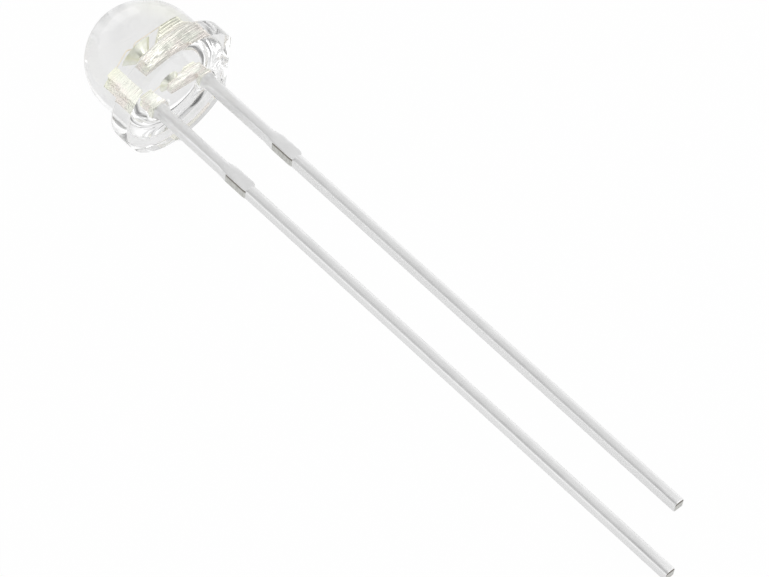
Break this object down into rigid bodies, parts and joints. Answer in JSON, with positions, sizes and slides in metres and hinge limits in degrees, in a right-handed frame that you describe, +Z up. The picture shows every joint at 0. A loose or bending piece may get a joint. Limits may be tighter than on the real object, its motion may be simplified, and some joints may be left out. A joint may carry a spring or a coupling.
{
  "type": "through-hole led",
  "caption": "Water-clear flanged LED with a low domed lens, a cathode flat and square tinned leads, lying on its side.",
  "frame": {"origin": "on the surface that the lamp lies on, under the middle of its box", "axes": "+Z up, +X level, from the dome towards the lead tips; +Y is level, towards the cathode side. The lens axis slopes about 5.6 degrees down towards the tips, because the flange holds the lens end up"},
  "size_m": [0.0336, 0.0056, 0.0061],
  "materials": {
    "clear_epoxy": "cast water-clear epoxy, polished by the mould",
    "tinned_steel": "stamped steel strip, tinned",
    "silver_epoxy": "silver-filled adhesive",
    "chip": "sapphire die with gold contact pads",
    "phosphor": "yellow phosphor in clear resin",
    "gold": "drawn gold wire"
  },
  "bodies": {
    "root": {"lens_body": "clear_epoxy", "cathode_lead": "tinned_steel", "anode_lead": "tinned_steel", "die_attach": "silver_epoxy", "led_chip": "chip", "phosphor_fill": "phosphor", "anode_bond_wire": "gold", "cathode_bond_wire": "gold"}
  },
  "joints": []
}
